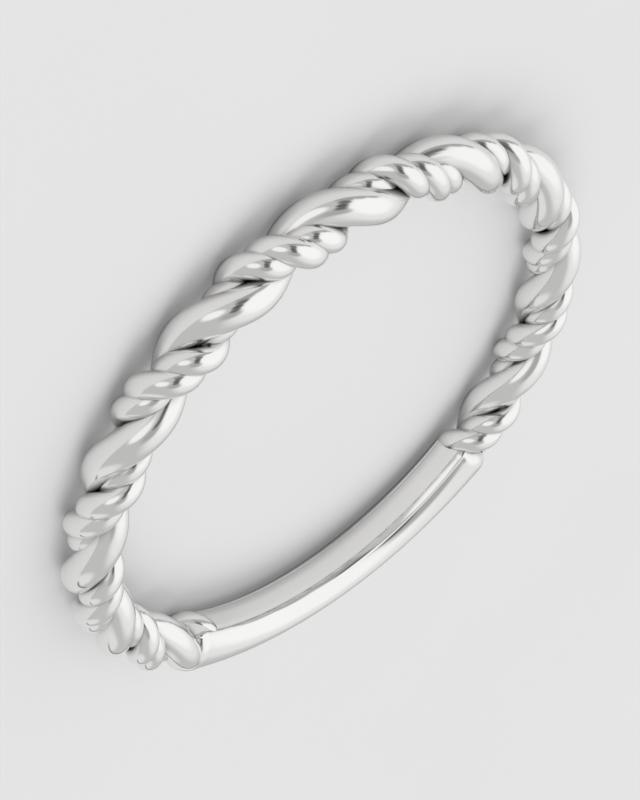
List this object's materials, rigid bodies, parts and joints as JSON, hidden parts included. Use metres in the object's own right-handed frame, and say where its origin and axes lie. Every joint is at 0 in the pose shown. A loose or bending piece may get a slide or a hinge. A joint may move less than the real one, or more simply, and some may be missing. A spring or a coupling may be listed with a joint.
{
  "type": "rope twist ring",
  "caption": "Slim polished finger ring: a plain rounded shank, and a front of a smooth round strand twisted with a finer wire rope.",
  "frame": {"origin": "on the axis of the finger bore, at the surface that the ring rests on", "axes": "+Z along the finger bore, up from the surface; -Y towards the middle of the twist, +Y towards the middle of the shank"},
  "size_m": [0.0206, 0.0203, 0.0019],
  "materials": {
    "white_metal": "polished"
  },
  "bodies": {
    "root": {"shank": "white_metal", "smooth_strand": "white_metal", "rope_wire_a": "white_metal", "rope_wire_b": "white_metal"}
  },
  "joints": []
}
